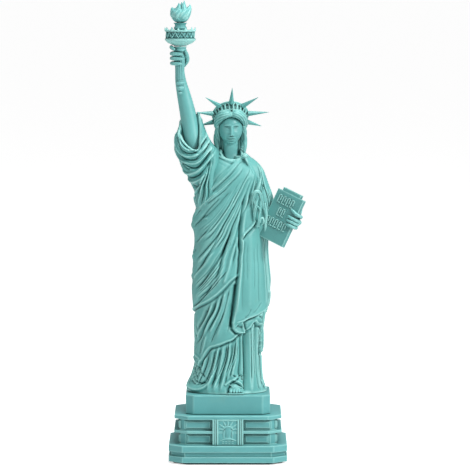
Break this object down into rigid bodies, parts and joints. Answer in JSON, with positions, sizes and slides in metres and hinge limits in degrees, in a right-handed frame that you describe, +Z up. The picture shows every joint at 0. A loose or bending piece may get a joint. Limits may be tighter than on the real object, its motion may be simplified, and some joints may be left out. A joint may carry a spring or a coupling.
{
  "type": "miniature landmark statue",
  "caption": "Decorative resin statuette of a robed, crowned figure holding up a torch and carrying a tablet, on a stepped square pedestal.",
  "frame": {"origin": "middle of the felt pad's underside, where the statuette stands", "axes": "+Z up, -Y towards the front with the plaque, +X towards the tablet"},
  "size_m": [0.0941, 0.0784, 0.3055],
  "materials": {
    "resin": "hand-painted verdigris with a dark wash in the recesses, matt",
    "steel": "zinc plated",
    "felt": "pressed felt"
  },
  "bodies": {
    "root": {"felt_pad": "felt", "base_casting": "resin", "front_plaque": "resin", "pedestal_block": "resin", "fixing_screw": "steel", "screw_washer": "steel", "block_dowel_left": "steel", "block_dowel_right": "steel", "robed_figure": "resin", "head": "resin", "neck_pin": "steel", "crown_diadem": "resin", "crown_ray_1": "resin", "crown_ray_2": "resin", "crown_ray_3": "resin", "crown_ray_4": "resin", "crown_ray_5": "resin", "crown_ray_6": "resin", "crown_ray_7": "resin", "right_arm": "resin", "arm_pin": "steel", "torch_handle": "resin", "torch_gallery": "resin", "torch_cup": "resin", "torch_flame": "resin", "torch_pin": "steel", "left_arm": "resin", "tablet": "resin", "tablet_pin": "steel"}
  },
  "joints": []
}
